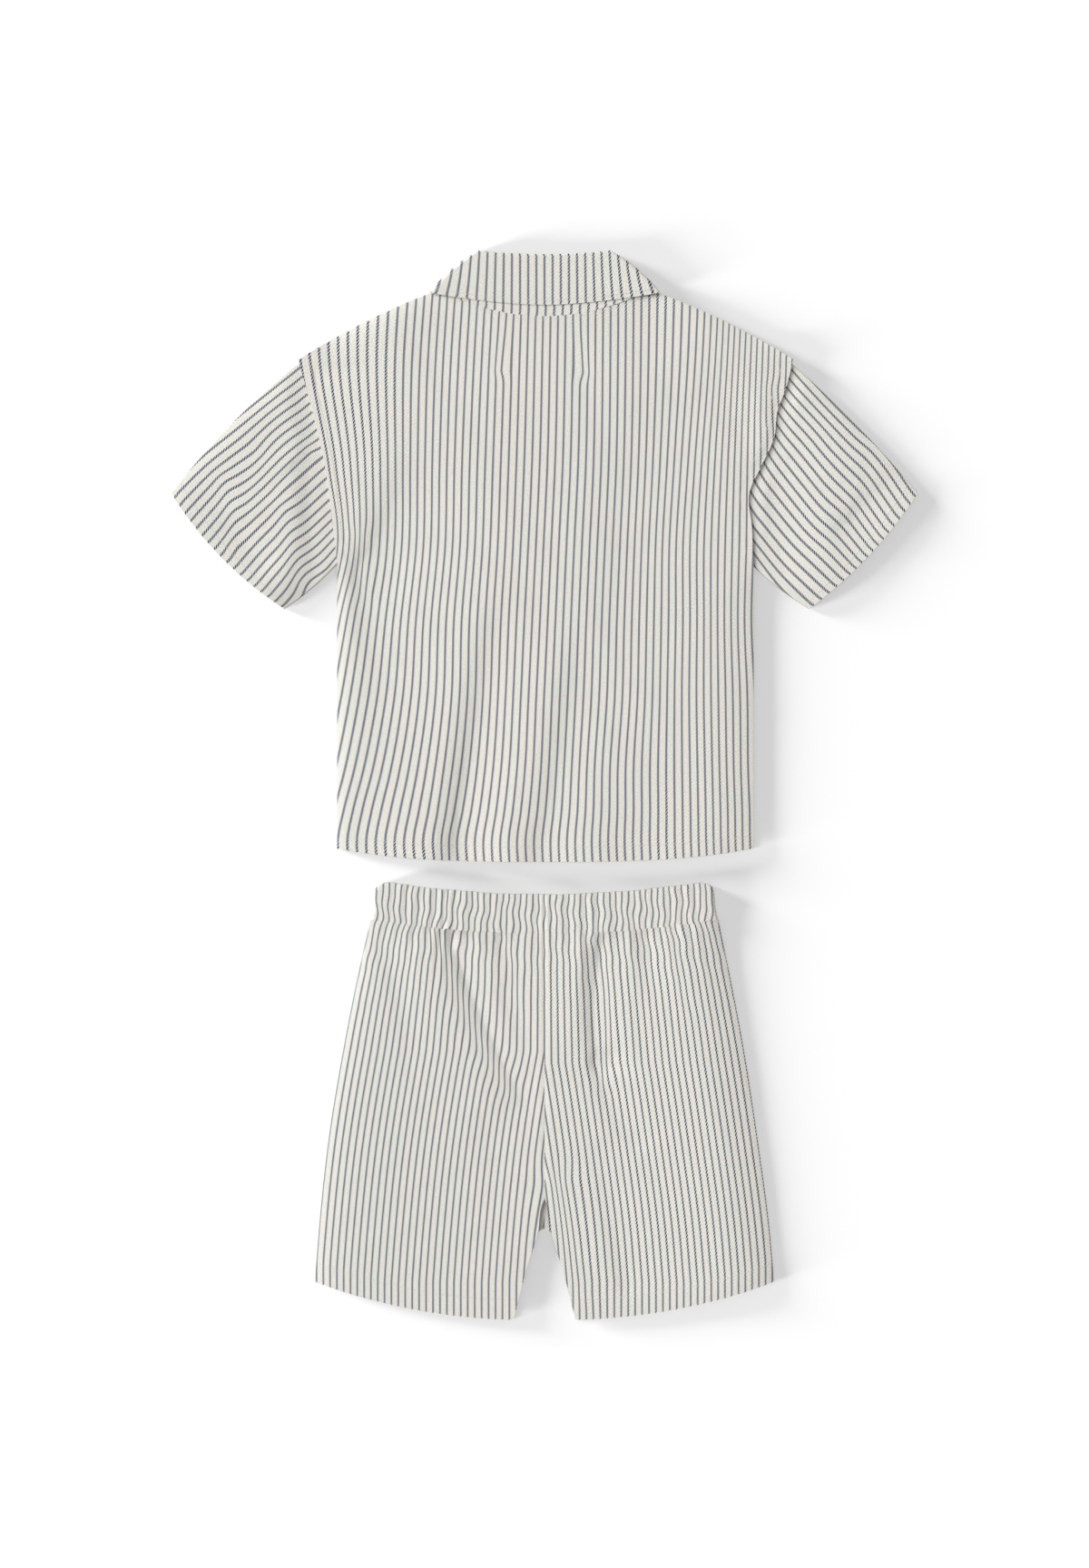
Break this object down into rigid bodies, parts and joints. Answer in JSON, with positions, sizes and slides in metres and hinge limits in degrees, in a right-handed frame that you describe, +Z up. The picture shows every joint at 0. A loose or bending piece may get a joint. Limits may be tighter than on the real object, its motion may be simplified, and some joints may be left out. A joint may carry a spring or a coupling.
{
  "type": "child's short-sleeved camp-collar shirt and pull-on shorts set, laid flat",
  "caption": "Child's short-sleeved striped shirt with a turned-down collar and matching pull-on shorts with a gathered waist, laid flat with the backs up.",
  "frame": {"origin": "middle of the set's footprint, on the surface that it lies on", "axes": "+Z up from the surface, through the fronts to the backs; +Y from the shorts' hems to the shirt's collar; +X to the wearer's right"},
  "size_m": [0.5925, 0.8489, 0.0112],
  "materials": {
    "striped_cotton": "matt woven cotton, off-white with thin blue-grey twill stripes",
    "button": "plain satin cream button"
  },
  "bodies": {
    "root": {"shirt_back": "striped_cotton", "shirt_front_left": "striped_cotton", "shirt_front_right": "striped_cotton", "collar": "striped_cotton", "sleeve_left": "striped_cotton", "sleeve_right": "striped_cotton", "waistband": "striped_cotton", "shorts_back_left": "striped_cotton", "shorts_back_right": "striped_cotton", "shorts_front_left": "striped_cotton", "shorts_front_right": "striped_cotton", "button_1": "button", "button_2": "button", "button_3": "button", "button_4": "button", "button_5": "button"}
  },
  "joints": []
}
